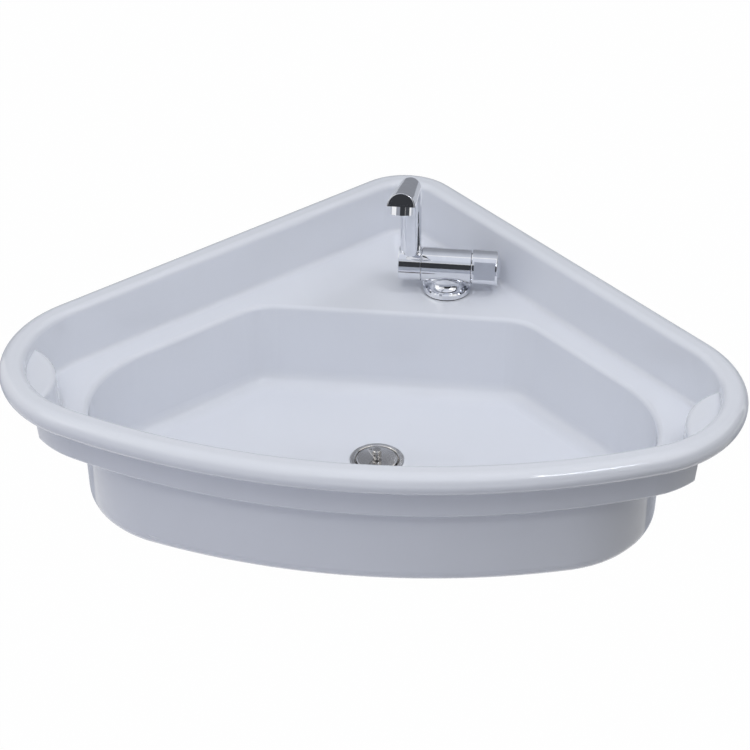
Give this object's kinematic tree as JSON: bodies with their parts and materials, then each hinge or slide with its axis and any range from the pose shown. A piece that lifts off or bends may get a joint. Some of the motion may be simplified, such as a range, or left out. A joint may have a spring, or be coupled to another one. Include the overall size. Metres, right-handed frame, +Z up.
{
  "type": "corner wash basin with folding tap",
  "caption": "Moulded corner basin with a rolled rim, a tap deck and a bowl; its cold-water tap has a spout that folds into the bowl, and its waste has a lift-out plug with a pull link",
  "frame": {"origin": "on the waste axis, in the plane of the rim's seat on the worktop", "axes": "+X to the user's right, +Y to the back corner, +Z up"},
  "size_m": [0.7, 0.5432, 0.329],
  "materials": {
    "white_moulding": "smooth gloss moulded acrylic",
    "tap_chrome": "polished chrome plate",
    "stainless": "satin stainless steel",
    "brass": "turned brass",
    "rubber": "black rubber",
    "grey_plastic": "pale moulded plastic",
    "valve_ceramic": "lapped ceramic"
  },
  "bodies": {
    "basin": {"basin_shell": "white_moulding", "tap_body": "tap_chrome", "tap_gasket": "rubber", "tap_backing_washer": "rubber", "tap_clamp_washer": "stainless", "tap_lock_nut": "brass", "tap_inlet_stem": "brass", "spout_spigot": "brass", "spout_seal_outer": "rubber", "spout_seal_inner": "rubber", "spout_clip": "stainless", "seat_seal": "rubber", "fixed_disc": "valve_ceramic", "valve_cartridge": "brass", "waste_flange": "stainless", "waste_seal": "rubber", "waste_gasket": "rubber", "waste_nut": "grey_plastic", "waste_strainer": "stainless", "tail_washer": "rubber", "waste_tail": "grey_plastic", "tail_nut": "grey_plastic"},
    "spout": {"spout": "tap_chrome", "hub_cap": "tap_chrome", "aerator_housing": "tap_chrome", "aerator_washer": "rubber", "aerator_insert": "grey_plastic"},
    "knob": {"knob": "tap_chrome", "knob_screw": "stainless", "knob_cap": "tap_chrome", "valve_spindle": "brass", "moving_disc": "valve_ceramic"},
    "plug": {"plug_cap": "stainless", "plug_seal": "rubber", "plug_stud": "stainless", "plug_nut": "stainless"},
    "pull_link": {"plug_ring": "stainless"}
  },
  "joints": [
    {"name": "spout_fold", "type": "hinge", "parent": "basin", "child": "spout", "pos_m": [0.0142, 0.182, -0.005], "axis": [1, 0, 0], "range_deg": [0, 90]},
    {"name": "knob_turn", "type": "hinge", "parent": "basin", "child": "knob", "pos_m": [0.09, 0.182, -0.005], "axis": [1, 0, 0], "range_deg": [0, 90]},
    {"name": "plug_lift", "type": "slide", "parent": "basin", "child": "plug", "axis": [0, 0, 1], "range_m": [0, 0.05]},
    {"name": "link_swing", "type": "hinge", "parent": "plug", "child": "pull_link", "pos_m": [-0.0022, 0, -0.1126], "axis": [0, 1, 0], "range_deg": [-62, 24]}
  ]
}
